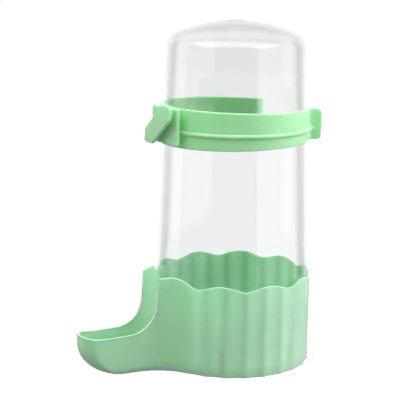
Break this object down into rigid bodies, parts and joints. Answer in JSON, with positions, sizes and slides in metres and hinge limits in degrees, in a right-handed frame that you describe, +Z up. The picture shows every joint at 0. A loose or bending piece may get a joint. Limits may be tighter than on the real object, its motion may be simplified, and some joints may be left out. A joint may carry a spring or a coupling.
{
  "type": "rabbit water bottle",
  "caption": "Clip-on gravity drinker: a clear bottle stands mouth down in a fluted cup with a drinking trough, and a C-clamp with a turn latch holds it to cage wires.",
  "frame": {"origin": "on the bottle's axis, in the face that the cup stands on", "axes": "+Z up along the bottle's axis, -Y towards the tip of the drinking trough, +X to the right of the trough seen from behind the cup"},
  "size_m": [0.08, 0.1245, 0.1727],
  "materials": {
    "green_plastic": "satin mint green moulded plastic",
    "clear_plastic": "clear glossy moulded plastic"
  },
  "bodies": {
    "cup": {"base_cup_with_trough": "green_plastic"},
    "bottle": {"bottle": "clear_plastic"},
    "clamp": {"clamp_band": "green_plastic"},
    "latch": {"turn_latch": "green_plastic"}
  },
  "joints": [
    {"name": "bottle_lift", "type": "slide", "parent": "cup", "child": "bottle", "axis": [0, 0, 1], "range_m": [0, 0.04]},
    {"name": "clamp_slide", "type": "slide", "parent": "bottle", "child": "clamp", "axis": [0, 0, 1], "range_m": [0, 0.065]},
    {"name": "latch_turn", "type": "hinge", "parent": "clamp", "child": "latch", "pos_m": [0.00404, -0.0412, 0.1234], "axis": [0.0976, -0.9952, 0], "continuous": true}
  ]
}
